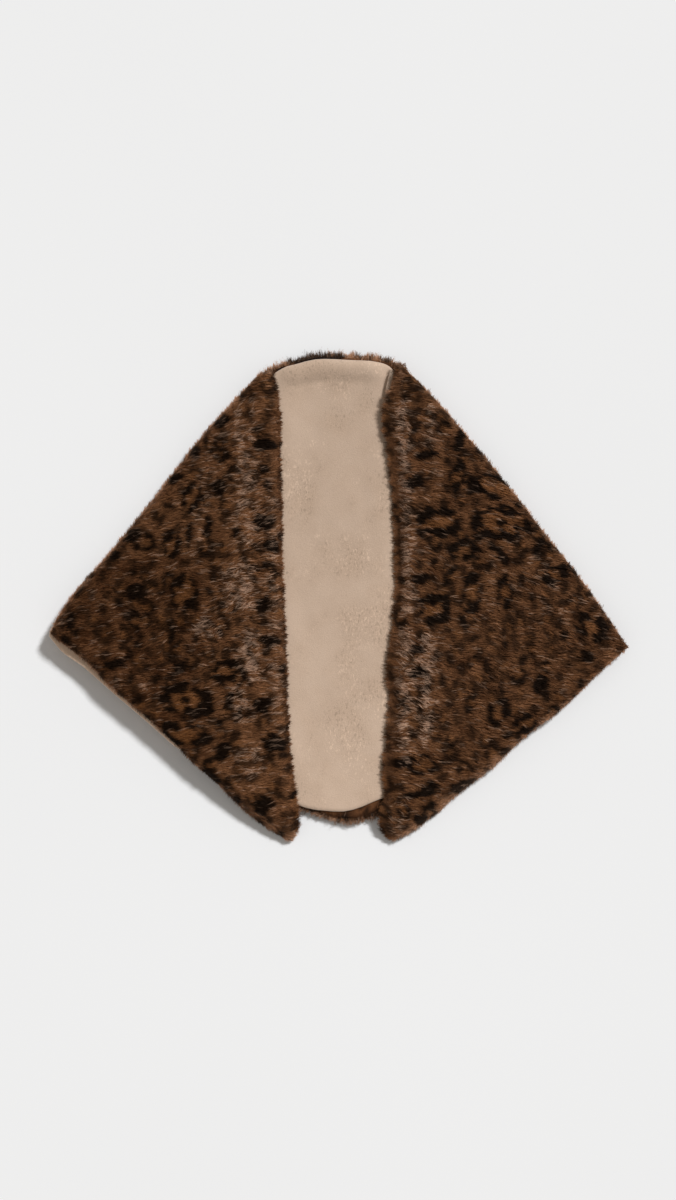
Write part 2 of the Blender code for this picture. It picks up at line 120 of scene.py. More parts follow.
# The print: the marks of each kind, as (x, y, long, wide, turn), and strength where it isn't 1, in
# millimetres and degrees. An eye is a ring with a dot in it, and a cup is a ring with one wide gap.
Mark = namedtuple("Mark", "kind x y long wide turn strength", defaults=(1.0,))
SPOTS = (
    (111, 183, 15, 6, 5),
    (154, 200, 17, 7, 78),
    (182, 188, 10, 5, -35),
    (97, 147, 14, 10, 20),
    (175, 97, 17, 6, 85),
    (244, 91, 11, 5, 75),
    (170, 140, 12, 6, 70),
    (112, 106, 14, 8, 25),
    (258, 66, 15, 6, 62),
    (211, 50, 15, 6, -60),
    (104, 22, 13, 8, 0),
    (138, -14, 19, 6, 88),
    (100, -68, 12, 7, 0),
    (104, -98, 14, 9, 10),
    (112, -120, 10, 5, 35),
    (260, -113, 13, 11, 80),
    (320, -78, 12, 9, 20),
    (82, -215, 14, 8, 0),
    (158, -247, 20, 9, 20),
    (104, -256, 26, 5, 8),
    (116, -248, 12, 8, 30),
    (102, -290, 10, 7, -40),
    (-96, 195, 16, 9, 0),
    (-152, 226, 12, 8, 40),
    (-186, 186, 11, 8, 70),
    (-212, 153, 10, 7, 20),
    (-96, 165, 9, 7, 20),
    (-155, 140, 11, 10, 0),
    (-97, 96, 16, 11, 10),
    (-88, 64, 12, 9, 0),
    (-194, 80, 16, 5, 88),
    (-170, 88, 15, 6, 84),
    (-266, 78, 14, 9, 30),
    (-290, 52, 9, 7, 60),
    (-98, -12, 13, 9, 60),
    (-262, 5, 14, 11, 0),
    (-345, -32, 11, 7, 80),
    (-216, -46, 19, 5, 88),
    (-205, -92, 10, 8, 50),
    (-290, -88, 12, 7, 0),
    (-90, -58, 14, 8, 0),
    (-170, -140, 18, 8, 84),
    (-100, -142, 15, 11, 20),
    (-141, -134, 13, 6, 80),
    (-82, -190, 16, 12, 0),
    (-150, -200, 14, 10, 60),
    (-166, -234, 18, 9, -30),
    (-98, -272, 16, 12, 50),
    (-34, 312, 38, 12, 2),
    (78, 300, 12, 8, -40, 0.6),
    (20, -296, 14, 8, 0, 0.5),
)
RINGS = (
    (152, 154, 17, 10, 80),
    (128, 96, 30, 17, 0),
    (160, 60, 20, 12, 20),
    (279, 27, 15, 12, 30),
    (171, 5, 23, 13, 88),
    (214, 6, 20, 11, 84),
    (122, -17, 22, 17, 0),
    (326, -40, 20, 15, -30),
    (205, -150, 18, 12, 70),
    (240, -165, 15, 11, 10),
    (106, -218, 22, 12, 0),
    (-190, 128, 18, 12, 60),
    (-216, 66, 17, 11, 80),
    (-200, 5, 24, 18, 70),
    (-147, -97, 18, 13, 10),
    (-198, -178, 33, 15, -6),
)
EYES = (
    (209, 95, 38, 22, -4),
    (-198, -134, 32, 20, -8),
)
CUPS = (
    (200, 142, 33, 15, -15),
)
LARGE_MARKS = tuple(
    Mark(kind, *row)
    for kind, rows in (("spot", SPOTS), ("ring", RINGS), ("eye", EYES), ("cup", CUPS))
    for row in rows
)
MARK_REACH = 1.3
MARK_SOFTNESS = 0.0034
MARK_HALO = 0.0065
MARK_HALO_STRENGTH = 0.36
MARK_WOBBLE = 0.17
MARK_WOBBLE_SIZE = 0.013
EYE_DOT = 0.22

# A ring's line runs at this share of its half sizes, and is thicker on a large ring, as (sizes, shares).
# Its gaps are as (how many, where the wave that makes them starts, where it is whole).
RING_AT = 0.82
RING_LINE = 0.0046
RING_LINE_BY_SIZE = ((0.0, 0.011, 0.024), (0.0, 1.0, 1.35))
RING_LINE_VARIES = 0.30
RING_GAPS = {"cup": (1, -0.85, -0.60), "ring": (2, -1.02, -0.88), "eye": (2, -1.02, -0.95)}
HEART_SIZE = 0.012
HEART_WARMTH = 0.45

# Small marks dapple the ground between the large ones. Each is drawn between these, as (long, wide, turn,
# kind, kept, strength), and up to these shares of kinds it is an upright spot or a cup.
SMALL_MARK_STEP = 0.0190
SMALL_MARK_SHIFT = 0.36
SMALL_MARK_ROOM = 0.0030
SMALL_MARK_LEAST = (6.0, 3.8, 50, 0, 0, 0.62)
SMALL_MARK_MOST = (10.0, 6.0, 130, 1, 1, 1.0)
SMALL_MARK_KEPT = 0.96
SMALL_MARK_KINDS = (0.48, 0.88)
SMALL_CUP_SCALE = (1.25, 1.6)

# Where the pile bends over a soft ridge its hair stands up and catches the light, which is painted on as a
# pale highlight, as rows in millimetres.
Band = namedtuple("Band", "x_from y_from x_to y_to half_width strength")
HIGHLIGHT_BANDS = (
    Band(-127, 250, -126, 100, 7, 0.85),
    Band(-111, 262, -112, 180, 5, 0.70),
    Band(-116, 190, -114, 60, 17, 0.70),
    Band(-128, 40, -126, -20, 23, 1.00),
    Band(-184, -36, -148, -48, 12, 0.90),
    Band(-113, -44, -112, -112, 15, 1.00),
    Band(-128, -112, -122, -164, 12, 0.90),
    Band(-112, -196, -106, -232, 16, 0.60),
    Band(-150, 230, -190, 60, 14, 0.35),
    Band(-87, 150, -78, -190, 9, 0.55),
    Band(79, 255, 81, 90, 11, 1.00),
    Band(114, 248, 115, 195, 6, 0.90),
    Band(124, 168, 122, 150, 6, 0.55),
    Band(82, 90, 84, -30, 12, 0.90),
    Band(80, -40, 79, -190, 12, 1.00),
    Band(112, -44, 108, -190, 10, 1.00),
    Band(97, -60, 94, -170, 16, 0.38),
    Band(86, -192, 84, -225, 12, 0.55),
    Band(238, 58, 276, 10, 9, 0.35),
    Band(256, 0, 284, -28, 8, 0.35),
    Band(58, -262, 82, -300, 14, 0.45),
)
BAND_FADE = (0.10, 0.10)
BAND_EVEN = (0.80, 0.40)

# Tone runs from the ground's dark strands at 0 to its light ones at 1. It is raised as painted light on
# tilted places and in the painted highlight's bands, lowered as painted shade in the left front's outer
# corner, between these values of x and y, and raised as painted light on the rest of that front.
TONE = 0.46
TONE_WAVES = 0.12
HAIR_TONE = 0.15
LOCK_TONE = 0.18
STRAND_TONE = 0.24
HIGHLIGHT_TONE = 0.16
EDGE_TONE = 0.60
DIMMEST = 0.34
DIMMED_X = (-0.13, -0.20)
DIMMED_Y = (0.08, 0.03)
LEFT_TONE = 0.12
LEFT_X = (-0.02, -0.06)

# How much of the painted highlight's pale colour a hair takes at each of its points: in the highlight bands,
# and as painted light on tilted places and on edges. A dark mark takes a share of it away again.
PALE_SHARE = (0.060, 0.74)
PALE_LEAST = 0.22
TILTED_PAINTED_LIGHT = 0.32
EDGE_PAINTED_LIGHT = 0.48
EDGE_PAINTED_LIGHT_UP = (0.0, 1.0, 1.0, 1.7)
MARK_ON_HIGHLIGHT = 0.5
MARK_ON_EDGE = 0.7

# How much of the painted shade at a hair's root an edge takes away again as painted light, and how far such a
# hair turns to the light. The edge that faces right, the left front's inner one, gets this share of the
# painted light: below 0, so there it is painted shade.
EDGE_ROOT_LIGHT = 0.70
EDGE_TURN = (0.20, 0.30, 0.20)
INNER_EDGE_LIT = -0.40
INNER_EDGE_AT = (0.80, 0.97)

# Darker roots and painted shade deep in the pile: on a hair from its root up, as (place, grey), and on the
# cloth under it. Grains are per metre.
ROOT_SHADE = ((0.0, 0.42), (0.70, 1.0))
UNDERFUR_SHADE = (0.52, 0.47, 0.42, 1.0)
PILE_GRAIN = 420.0
CLOTH_GRAIN = 900.0

# The lining's patches of flecks, per metre, and its flecks, as (share of the grain's number, shade).
FLECK_PATCHES = 26.0
FLECKS = ((0.70, ((0.56, 1.0), (0.68, 1.22))), (0.82, ((0.57, 1.0), (0.70, 0.78))))

# Where the lining pales, as (from, to, shade there, shade here): down the strip, to its sides, at the hem.
# Down the strip and at the hem the paling is painted light.
PALER_DOWN = (0.10, -0.26, 0.985, 1.11)
PALER_ASIDE = (0.030, 0.070, 0.99, 1.05)
PALER_HEM = (0.11, 0.14, 1.0, 1.45)

# Swells of the lining, as (height, length, seed), and how far beyond and within its ends a dent fades.
SWELLS = ((0.00030, 0.090, 31), (0.00012, 0.030, 32))
DENT_FADE = (0.15, 0.20)

# Shells: how far they stay inside the solid at their ends and edges, how wide their rim is, at most as
# shares of half the width, and how thin they may get.
LINING_END = 0.002
LINING_RIM = 0.0009
CLOTH_END = 0.004
CLOTH_INSET = 0.0035
CLOTH_RIM = 0.002
CLOTH_LEAST = 0.0018
CLOTH_LIFT = 0.0003
INSET_MOST = 0.3
RIM_MOST = 0.2
THINNEST = 0.0006

# Hairs: how many, and where. Edges get more of them, which stand out past the cloth as a fringe. The back
# has them where its rim faces sideways by more than this, and on its deck below some y.
FRONT_PIECES = 2
HAIRS_IN_PIECE = 88000
HAIRS_IN_RIM = 46000
RIM_TRIES = 9
RIM_SIDEWAYS = 0.12
RIM_DECK_BELOW = -0.255
LOWEST_FACING = -0.60
EDGE_DENSITY = 2.0

# What counts as an edge and as tilted, by its turn from straight up, and as tousled, by its y.
EDGE_AT = (0.30, 0.90)
TILTED_AT = (0.03, 0.40)
TOUSLED_BELOW = (-0.22, -0.29)

# Shape of a hair, with lengths and widths as shares of the pile's, and how it stays inside the solid.
HAIR_MIDDLE = 0.52
HAIR_LENGTHS = (0.75, 1.12)
HAIR_WIDTHS = (0.6, 1.4)
HAIR_BOW = 0.0012
HAIR_REACH = (-0.0005, 0.0005)
HAIR_ROLL = 0.5
LEAN_LIMITS = (0.12, 1.35)
ROOT_INSIDE_SHARE = 0.85
SKIN = 0.0002
SHORTEST_HAIR = 0.003
STRAY_HAIR = 0.0015
LOWEST_HAIR = 0.0005
EDGE_DROOP = 0.30
EDGE_SPREAD = 0.10
FLYAWAY_SHARE = 0.05
FLYAWAY_REACH = 0.0030

# The right front's inner edge slopes down to the lining: how wide the slope is, how far its hairs turn away
# from the light, where the painted highlight starts on it, and the y between which it goes over into the
# upright edge of the top.
SLOPE_WIDTH = 0.017
SLOPE_TILT = 0.55
SLOPE_HIGHLIGHT = (0.25, 0.55)
SLOPE_FADES = (0.246, 0.266)
SLOPE_ENDS = (0.002, 0.010)
SLOPE_FOOT_AT = 0.006
SLOPE_FOOT_LIFT = 0.0030

# A hair is round, but its mesh is flat: this far it turns to where the light comes from, and up on an edge.
ROUND_HAIR = (0.25, 0.45, 0.0)
EDGE_UP = (0.0, 0.0, 0.9)

# Hairs gather in locks. Tufts of them swing where the pile is tousled, and their strands share a tone.
CELLS = 8191
CELL_PRIMES = (73856093, 19349663)
LOCK_TURN = 0.34
LOCK_LEAN = 0.20
LOCK_REACH = 0.0009
LOCK_ROUND = 0.0010
LOCK_DRAW = 0.30
TUFT_WIDTH = 0.0065
TUFT_LENGTH = 0.0120
TUFT_APART = 50.0
TUFT_SWING = 1.15
TUFT_SWAY = 0.0016
STRAND_WIDTH = 0.0016
STRAND_LENGTH = 0.0095
STRAND_DRAW = 0.60

# The print is read a little off the hair's points, so that its edges are combed.
PRINT_SPREAD = 0.0007
PRINT_COMBED = 0.0010

# Length and width of a hair on the map for baking.
MAPPED_HAIR = (0.0012, 0.00016)

# How far past the solid the hairs of an edge reach, as (least, most), for edges that face one way and lie
# above some y, and how near the edge has to face that way.
Fringe = namedtuple("Fringe", "facing_x facing_y least most above", defaults=(-1.0,))
EDGE_FRINGE = (-0.0055, 0.0036)
FRINGE_TURNED = (0.70, 0.95)
LEFT_FRINGES = (
    Fringe(1.0, 0.0, -0.0030, 0.0050),
    Fringe(0.35, -0.94, -0.0020, 0.0065),
    Fringe(-0.64, -0.77, -0.0042, 0.0036),
)
RIGHT_FRINGES = (
    Fringe(-1.0, 0.0, -0.0030, 0.0075),
    Fringe(-1.0, 0.0, -0.0090, -0.0045, 0.262),
    Fringe(-0.1, -1.0, -0.0020, 0.0065),
    Fringe(0.3, 0.95, -0.0030, 0.0040),
    Fringe(0.74, 0.67, -0.0088, 0.0010),
)
BACK_FRINGES = (
    Fringe(0.0, 1.0, -0.0035, 0.0070),
    Fringe(0.0, -1.0, -0.0005, 0.0080),
)


def rgb(red, green, blue):
    """A linear colour from its usual 0 to 255 values."""
    values = np.array((red, green, blue)) / 255
    linear = np.where(values <= 0.04045, values / 12.92, ((values + 0.055) / 1.055) ** 2.4)
    return tuple(float(v) for v in linear)


def a_colour(name, description, *shade):
    return FloatVectorProperty(name=name, description=description, subtype="COLOR", default=rgb(*shade))


def a_length(name, description, metres, **limits):
    return FloatProperty(name=name, description=description, default=metres, unit="LENGTH", **limits)


def an_angle(name, description, degrees):
    angle = math.radians(degrees)
    return FloatProperty(name=name, description=description, default=angle, subtype="ANGLE")


class ScarfPile(PropertyGroup):
    """Sizes of the pile."""

    length: a_length("Length", "Length of a hair", 0.0135, min=0.002)
    width: a_length("Width", "Width of a lock of hair at its middle", 0.00052, min=0.0001, precision=5)
    lean: an_angle("Lean", "Angle between a hair and the cloth", 22)
    stand: an_angle("Stand", "Angle that edges and ridges add", 36)
    lock_width: a_length("Lock width", "Width of the locks that hairs gather in", 0.0019)
    lock_length: a_length("Lock length", "Length of the locks along the nap", 0.0100)
    underfur_depth: a_length("Underfur depth", "How far below the tips the dense underfur lies", 0.0042)
    seed: IntProperty(name="Seed", description="Picks another layout of hairs", default=7)


class ScarfPrint(PropertyGroup):
    """Colours of the print."""

    ground: a_colour("Ground", "Brown ground", 156, 107, 72)
    shade: a_colour("Shade", "Dark strands of the ground", 68, 38, 18)
    heart: a_colour("Heart", "Warm inside of a rosette", 146, 94, 52)
    mark: a_colour("Mark", "Near black marks", 28, 16, 7)
    # Pale colour of the painted highlight where the pile catches the light.
    frost: a_colour("Highlight", "Pale hair on the ridges", 206, 168, 142)


class ScarfLining(PropertyGroup):
    """Looks of the plush lining."""

    colour: a_colour("Colour", "Beige plush", 196, 171, 150)
    shade: a_colour("Shade", "Plush brushed the other way", 189, 163, 141)
    nap: a_length("Nap size", "Size of the plush's grain", 0.0016, precision=4)


class ScarfStage(PropertyGroup):
    """Floor, light and camera."""

    floor: a_colour("Floor", "Pale floor", 243, 243, 244)
    key_strength: FloatProperty(name="Key strength", description="Strength of the key light", default=3.0)
    key_size: an_angle("Key size", "Angle that the key light fills", 9)
    key_height: an_angle("Key height", "Angle of the key light above the floor", 44.5)
    key_side: an_angle("Key side", "How far right of the picture's top the key light stands", 42)
    fill: FloatProperty(name="Fill", description="Strength of the light from all round", default=0.31)
    camera_height: a_length("Camera height", "Height of the camera", 2.4)


class ScarfSettings(PropertyGroup):
    """All that a user can change."""

    pile: PointerProperty(type=ScarfPile)
    colours: PointerProperty(type=ScarfPrint)
    lining: PointerProperty(type=ScarfLining)
    stage: PointerProperty(type=ScarfStage)


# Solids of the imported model.

Solid = namedtuple("Solid", "places corners normals tree")
Slope = namedtuple("Slope", "rows edge foot")


def points_of(mesh):
    places = np.empty((len(mesh.vertices), 3), np.float32)
    mesh.vertices.foreach_get("co", places.ravel())
    return places


def solid_of(node):
    """One node's solid with its corners joined: places, triangles, outward directions and a search tree."""
    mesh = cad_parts[node].data
    mesh.calc_loop_triangles()
    corners = np.empty((len(mesh.loop_triangles), 3), np.int32)
    mesh.loop_triangles.foreach_get("vertices", corners.ravel())
    places, joined = np.unique(np.round(points_of(mesh).astype(float), 5), axis=0, return_inverse=True)
    corners = joined.ravel()[corners]
    first, second, third = (places[corners[:, k]] for k in range(3))
    facing = np.cross(second - first, third - first)
    normals = np.zeros_like(places)
    for k in range(3):
        np.add.at(normals, corners[:, k], facing)
    normals /= np.linalg.norm(normals, axis=1, keepdims=True) + 1e-12
    tree = BVHTree.FromPolygons(places.tolist(), corners.tolist())
    return Solid(places, corners, normals, tree)


def span(solid, axis, place):
    """The least and greatest of the other coordinate where a solid has one x (axis 0) or y (axis 1)."""
    ends = solid.places[solid.corners]
    found = []
    for k in range(3):
        start, stop = ends[:, k], ends[:, (k + 1) % 3]
        run = stop[:, axis] - start[:, axis]
        crosses = ((start[:, axis] - place) * (stop[:, axis] - place) <= 0) & (np.abs(run) > 1e-9)
        share = (place - start[crosses, axis]) / run[crosses]
        found.append(start[crosses, 1 - axis] + share * (stop[crosses, 1 - axis] - start[crosses, 1 - axis]))
    found = np.concatenate(found)
    return found.min(), found.max()


def height(solid, x, y, from_above=True):
    """Height of a solid's upper or lower side at one place, or None beside it."""
    start, along = (1.0, -1.0) if from_above else (-1.0, 1.0)
    hit = solid.tree.ray_cast(Vector((x, y, start)), Vector((0.0, 0.0, along)))[0]
    return None if hit is None else hit.z


# Soft fields.


def waves(places, size, seed, count=7):
    """An uneven field, mostly between -1 and 1, with features of one size."""
    rng = np.random.default_rng(seed)
    total = np.zeros(len(places))
    for turn, start, stretch in rng.uniform((0, 0, 0.7), (2 * np.pi, 2 * np.pi, 1.6), (count, 3)):
        along = places[:, 0] * math.cos(turn) + places[:, 1] * math.sin(turn)
        total += np.sin(along * 2 * np.pi / (size * stretch) + start)
    return total / math.sqrt(count)


def soft_step(low, high, values):
    share = np.clip((values - low) / (high - low), 0, 1)
    return share * share * (3 - 2 * share)


def turned(x, y, turn):
    """Two coordinates along axes that are turned by an angle."""
    return x * math.cos(turn) + y * math.sin(turn), y * math.cos(turn) - x * math.sin(turn)


def along_row(places, row, strength, beyond, within):
    """A strength round a row's line, which fades over its half width and at its ends."""
    start = np.array((row.x_from, row.y_from)) * MM
    run = np.array((row.x_to, row.y_to)) * MM - start
    away = places[:, :2] - start
    along = away @ run / (run @ run)
    off = np.linalg.norm(away - np.clip(along, 0, 1)[:, None] * run, axis=1)
    fade = soft_step(-beyond, within, along) * (1 - soft_step(1 - within, 1 + beyond, along))
    return strength * fade * np.exp(-((off / (row.half_width * MM)) ** 2))


def small_marks(area, taken, seed):
    """Seeded small marks on an uneven grid, clear of the large ones."""
    rng = np.random.default_rng(seed)
    marks = []
    left, right, low, high = area
    for x in np.arange(left, right, SMALL_MARK_STEP):
        for y in np.arange(low, high, SMALL_MARK_STEP):
            shift_x, shift_y = rng.uniform(-SMALL_MARK_SHIFT, SMALL_MARK_SHIFT, 2) * SMALL_MARK_STEP
            long, wide, turn, pick, kept, strength = rng.uniform(SMALL_MARK_LEAST, SMALL_MARK_MOST)
            at_x, at_y = (x + shift_x) / MM, (y + shift_y) / MM
            if kept > SMALL_MARK_KEPT or any(crowded(at_x, at_y, mark) for mark in taken):
                continue
            kind = "spot"
            if pick >= SMALL_MARK_KINDS[1]:
                turn -= 90
            elif pick >= SMALL_MARK_KINDS[0]:
                kind, long, wide = "cup", long * SMALL_CUP_SCALE[0], wide * SMALL_CUP_SCALE[1]
            marks.append(Mark(kind, at_x, at_y, long, wide, turn, strength))
    return tuple(marks)


def crowded(x, y, mark):
    """Whether a place in millimetres lies on a mark, with some room round it."""
    along, aside = turned(x - mark.x, y - mark.y, math.radians(mark.turn))
    room = SMALL_MARK_ROOM / MM
    return math.hypot(along / (mark.long + room), aside / (mark.wide + room)) < 1


def print_at(places, marks):
    """The print at each place: how dark its marks are, and how warm the inside of a rosette is."""
    dark, halo, warm = np.zeros((3, len(places)))
    wobble = MARK_WOBBLE * waves(places, MARK_WOBBLE_SIZE, 11)
    for mark in marks:
        x, y, long, wide = (v * MM for v in (mark.x, mark.y, mark.long, mark.wide))
        reach = MARK_REACH * long + MARK_HALO
        near = np.flatnonzero((np.abs(places[:, 0] - x) < reach) & (np.abs(places[:, 1] - y) < reach))
        if not len(near):
            continue
        along, aside = turned(places[near, 0] - x, places[near, 1] - y, math.radians(mark.turn))
        along, aside = along / long, aside / wide
        middle = np.hypot(along, aside)
        out = middle + wobble[near]
        size = (long + wide) / 2
        if mark.kind == "spot":
            off = (out - 1) * size
            broken = 1.0
        else:
            round_it = np.arctan2(aside, along)
            phase = mark.x * 0.7 + mark.y * 0.3
            thick = np.interp(size, *RING_LINE_BY_SIZE)
            line = RING_LINE * (1 + RING_LINE_VARIES * np.sin(2 * round_it + phase)) * thick
            off = np.abs(out - RING_AT) * size - line
            count, starts, whole = RING_GAPS[mark.kind]
            broken = soft_step(starts, whole, -np.cos(count * round_it + phase))
            inside = 1 - soft_step(0.50, 1.0, out)
            warm[near] = np.maximum(warm[near], inside * min(1.0, size / HEART_SIZE))
        value = (1 - soft_step(0, MARK_SOFTNESS, off + MARK_SOFTNESS / 2)) * broken
        if mark.kind == "eye":
            value = np.maximum(value, 1 - soft_step(EYE_DOT * 0.7, EYE_DOT * 1.3, middle))
        dark[near] = np.maximum(dark[near], value * mark.strength)
        round_about = (1 - soft_step(0, MARK_HALO, off)) * broken * mark.strength
        halo[near] = np.maximum(halo[near], round_about)
    return np.maximum(dark, MARK_HALO_STRENGTH * halo), HEART_WARMTH * warm * (1 - 0.5 * halo)


def frost_at(places):
    """How strong the painted highlight is at each place, where the pile stands up and catches the light."""
    total = np.zeros(len(places))
    for row in HIGHLIGHT_BANDS:
        total = np.maximum(total, along_row(places, row, row.strength, *BAND_FADE))
    uneven = BAND_EVEN[0] + BAND_EVEN[1] * waves(places * (1.0, 1.7, 1.0), 0.020, 23)
    return np.clip(total * uneven, 0, 1)


def painted_shade_at(places):
    """Painted shade in the left front's outer corner, where its ground is darker, and painted light on the
    rest of that front, given below 0 as it is lighter there.
    """
    dimmed = DIMMEST * soft_step(*DIMMED_X, places[:, 0]) * soft_step(*DIMMED_Y, places[:, 1])
    return dimmed - LEFT_TONE * soft_step(*LEFT_X, places[:, 0])


# Materials.


def add_node(tree, kind, inputs=None, **settings):
    """A node with its settings, whose named inputs take a value or another node's output."""
    made = tree.nodes.new(kind)
    for name, value in settings.items():
        setattr(made, name, value)
    for name, value in (inputs or {}).items():
        if isinstance(value, bpy.types.NodeSocket):
            tree.links.new(value, made.inputs[name])
        else:
            made.inputs[name].default_value = value
    return made


def mix(tree, share, first, second, blend="MIX"):
    """The colour between two colours."""
    inputs = {0: share, 6: first, 7: second}
    return add_node(tree, "ShaderNodeMix", inputs, data_type="RGBA", blend_type=blend).outputs[2]


def times(tree, first, second):
    return mix(tree, 1.0, first, second, "MULTIPLY")


def place_on(tree):
    """The place on a piece, in metres."""
    return add_node(tree, "ShaderNodeTexCoord").outputs["Object"]


def noise(tree, place, scale, **inputs):
    """Uneven values from 0 to 1, so many to a metre."""
    return add_node(tree, "ShaderNodeTexNoise", {"Vector": place, "Scale": scale, **inputs}).outputs["Fac"]


def between(tree, value, start, stop, low, high, **settings):
    """A value that goes from low to high while another goes from start to stop."""
    inputs = {"Value": value, "From Min": start, "From Max": stop, "To Min": low, "To Max": high}
    return add_node(tree, "ShaderNodeMapRange", inputs, **settings).outputs["Result"]


def roughen(tree, shader, heights, strength, distance):
    """Bump a shader's surface."""
    bump = add_node(
        tree, "ShaderNodeBump", {"Height": heights, "Strength": strength, "Distance": distance}
    )
    tree.links.new(bump.outputs["Normal"], shader.inputs["Normal"])


def opaque(colour):
    return (*colour, 1.0)


def new_material(name, roughness, **sockets):
    """A material, its node tree and its shader, with what is the same all over set on the shader."""
    material = bpy.data.materials.new(name)
    material.use_nodes = True
    tree = material.node_tree
    shader = tree.nodes["Principled BSDF"]
    shader.inputs["Roughness"].default_value = roughness
    for socket, value in sockets.items():
        shader.inputs[socket.replace("_", " ")].default_value = value
    return material, tree, shader


def field(tree, name):
    """A value that the mesh carries at each of its points."""
    return add_node(tree, "ShaderNodeAttribute", attribute_name=name).outputs["Fac"]


def ramp(tree, share, stops):
    """A value that goes through stops of (place, grey)."""
    made = add_node(tree, "ShaderNodeValToRGB", {"Fac": share})
    elements = made.color_ramp.elements
    while len(elements) < len(stops):
        elements.new(0.5)
    for element, (place, grey) in zip(elements, stops):
        element.position = place
        element.color = (grey, grey, grey, 1.0)
    return made.outputs["Color"]


def print_colour(tree, colours, grain):
    """The colour of the print, with any painted light and shade in its tone, from the fields that a piece
    carries, before the painted highlight and root shade.
    """
    ground = mix(tree, field(tree, "tone"), opaque(colours.shade), opaque(colours.ground))
    warm = mix(tree, field(tree, "warm"), ground, opaque(colours.heart))
    marked = mix(tree, field(tree, "dark"), warm, opaque(colours.mark))
    speckle = ramp(tree, noise(tree, place_on(tree), grain, Detail=4.0), ((0.30, 0.80), (0.70, 1.20)))
    return times(tree, marked, speckle)


def pile_material(colours):
    material, tree, shader = new_material("printed_pile", 0.65, Specular_IOR_Level=0.06)
    printed = print_colour(tree, colours, PILE_GRAIN)
    # Painted highlight in its pale colour, then darker roots and painted shade deep in the pile.
    frosted = mix(tree, field(tree, "frost"), printed, opaque(colours.frost))
    shaded = times(tree, frosted, ramp(tree, field(tree, "along"), ROOT_SHADE))
    tree.links.new(shaded, shader.inputs["Base Color"])
    return material


def fur_cloth_material(colours):
    material, tree, shader = new_material("fur_cloth", 0.9, Specular_IOR_Level=0.15)
    # Painted shade on the underfur cloth, deep under the pile.
    deep = times(tree, print_colour(tree, colours, CLOTH_GRAIN), UNDERFUR_SHADE)
    tree.links.new(deep, shader.inputs["Base Color"])
    roughen(tree, shader, noise(tree, place_on(tree), 700.0, Detail=5.0), 0.9, 0.0012)
    return material


def plush_material(look):
    """Short beige plush: brushed patches, a fine grain, flecks, and specks where the nap parts."""
    material, tree, shader = new_material(
        "plush", 0.92, Specular_IOR_Level=0.2, Sheen_Weight=0.25, Sheen_Roughness=0.6
    )
    place = place_on(tree)
    patches = ramp(tree, noise(tree, place, 22.0, Detail=3.0), ((0.35, 0.0), (0.68, 1.0)))
    base = mix(tree, patches, opaque(look.colour), opaque(look.shade))
    grain = noise(tree, place, 1 / look.nap, Detail=4.0, Roughness=0.65)
    base = times(tree, base, ramp(tree, grain, ((0.28, 0.92), (0.72, 1.06))))
    parting = add_node(
        tree, "ShaderNodeTexVoronoi", {"Vector": place, "Scale": 0.30 / look.nap}, feature="DISTANCE_TO_EDGE"
    )
    specks = ramp(tree, parting.outputs["Distance"], ((0.0, 0.93), (0.10, 1.0)))
    base = mix(tree, patches, base, times(tree, base, specks))
    # Painted light down the bare strip and at the hem, and paler towards the strip's sides.
    base = times(tree, base, lining_paling(tree, place))
    combed = add_node(tree, "ShaderNodeMapping", {"Vector": place, "Scale": (1.0, 0.5, 1.0)})
    for share, shade in FLECKS:
        fleck = noise(tree, combed.outputs["Vector"], share / look.nap, Detail=1.0)
        there = ramp(tree, noise(tree, place, FLECK_PATCHES * share), ((0.50, 0.0), (0.62, 1.0)))
        base = mix(tree, there, base, times(tree, base, ramp(tree, fleck, shade)))
    tree.links.new(base, shader.inputs["Base Color"])
    roughen(tree, shader, grain, 0.55, 0.0008)
    return material


def lining_paling(tree, place):
    """How the lining pales: painted light down the bare strip, paler along both of its sides, and painted
    light at the hem that shows.
    """
    parts = add_node(tree, "ShaderNodeSeparateXYZ", {"Vector": place})
    aside = add_node(tree, "ShaderNodeMath", {0: parts.outputs["X"]}, operation="ABSOLUTE").outputs[0]
    shade = between(tree, parts.outputs["Y"], *PALER_DOWN)
    for more in (
        between(tree, aside, *PALER_ASIDE, interpolation_type="SMOOTHSTEP"),
        between(tree, aside, *PALER_HEM),
    ):
        shade = add_node(tree, "ShaderNodeMath", {0: shade, 1: more}, operation="MULTIPLY").outputs[0]
    return shade


def floor_material(colour):
    material, tree, shader = new_material("pale_floor", 0.9, Specular_IOR_Level=0.0)
    uneven = ramp(tree, noise(tree, place_on(tree), 1.1, Detail=1.0), ((0.3, 0.985), (0.7, 1.0)))
    tree.links.new(times(tree, opaque(colour), uneven), shader.inputs["Base Color"])
    return material


# Pieces.


def add_piece(name, mesh, material):
    mesh.materials.append(material)
    piece = bpy.data.objects.new(name, mesh)
    bpy.context.scene.collection.objects.link(piece)
    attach(piece, BODY)
    return piece


def shell_rings(solid, axis, stations, step, inset, rim, top_of, low_of):
    """Rings round a thin shell, one at each station: its upper side from edge to edge, then its lower."""
    widest = max(np.subtract(*span(solid, axis, place)[::-1]) for place in stations)
    shares = np.linspace(0, 1, round(widest / step) + 1)
    rings = []
    for place in stations:
        first, last = span(solid, axis, place)
        room = (last - first) / 2
        first, last = first + min(inset, INSET_MOST * room), last - min(inset, INSET_MOST * room)
        turn = min(rim, RIM_MOST * room)
        across = first + turn + (last - first - 2 * turn) * shares
        plan = np.full((len(across), 2), place)
        plan[:, 1 - axis] = across
        low = low_of(plan)
        top = np.maximum(top_of(plan), low + THINNEST)
        upper = np.column_stack((plan, top))
        lower = np.column_stack((plan, low))
        edges = (upper[[0, -1]] + lower[[0, -1]]) / 2
        edges[:, 1 - axis] = first, last
        rings.append(np.vstack((edges[:1], upper, edges[1:], lower[::-1])))
    return rings


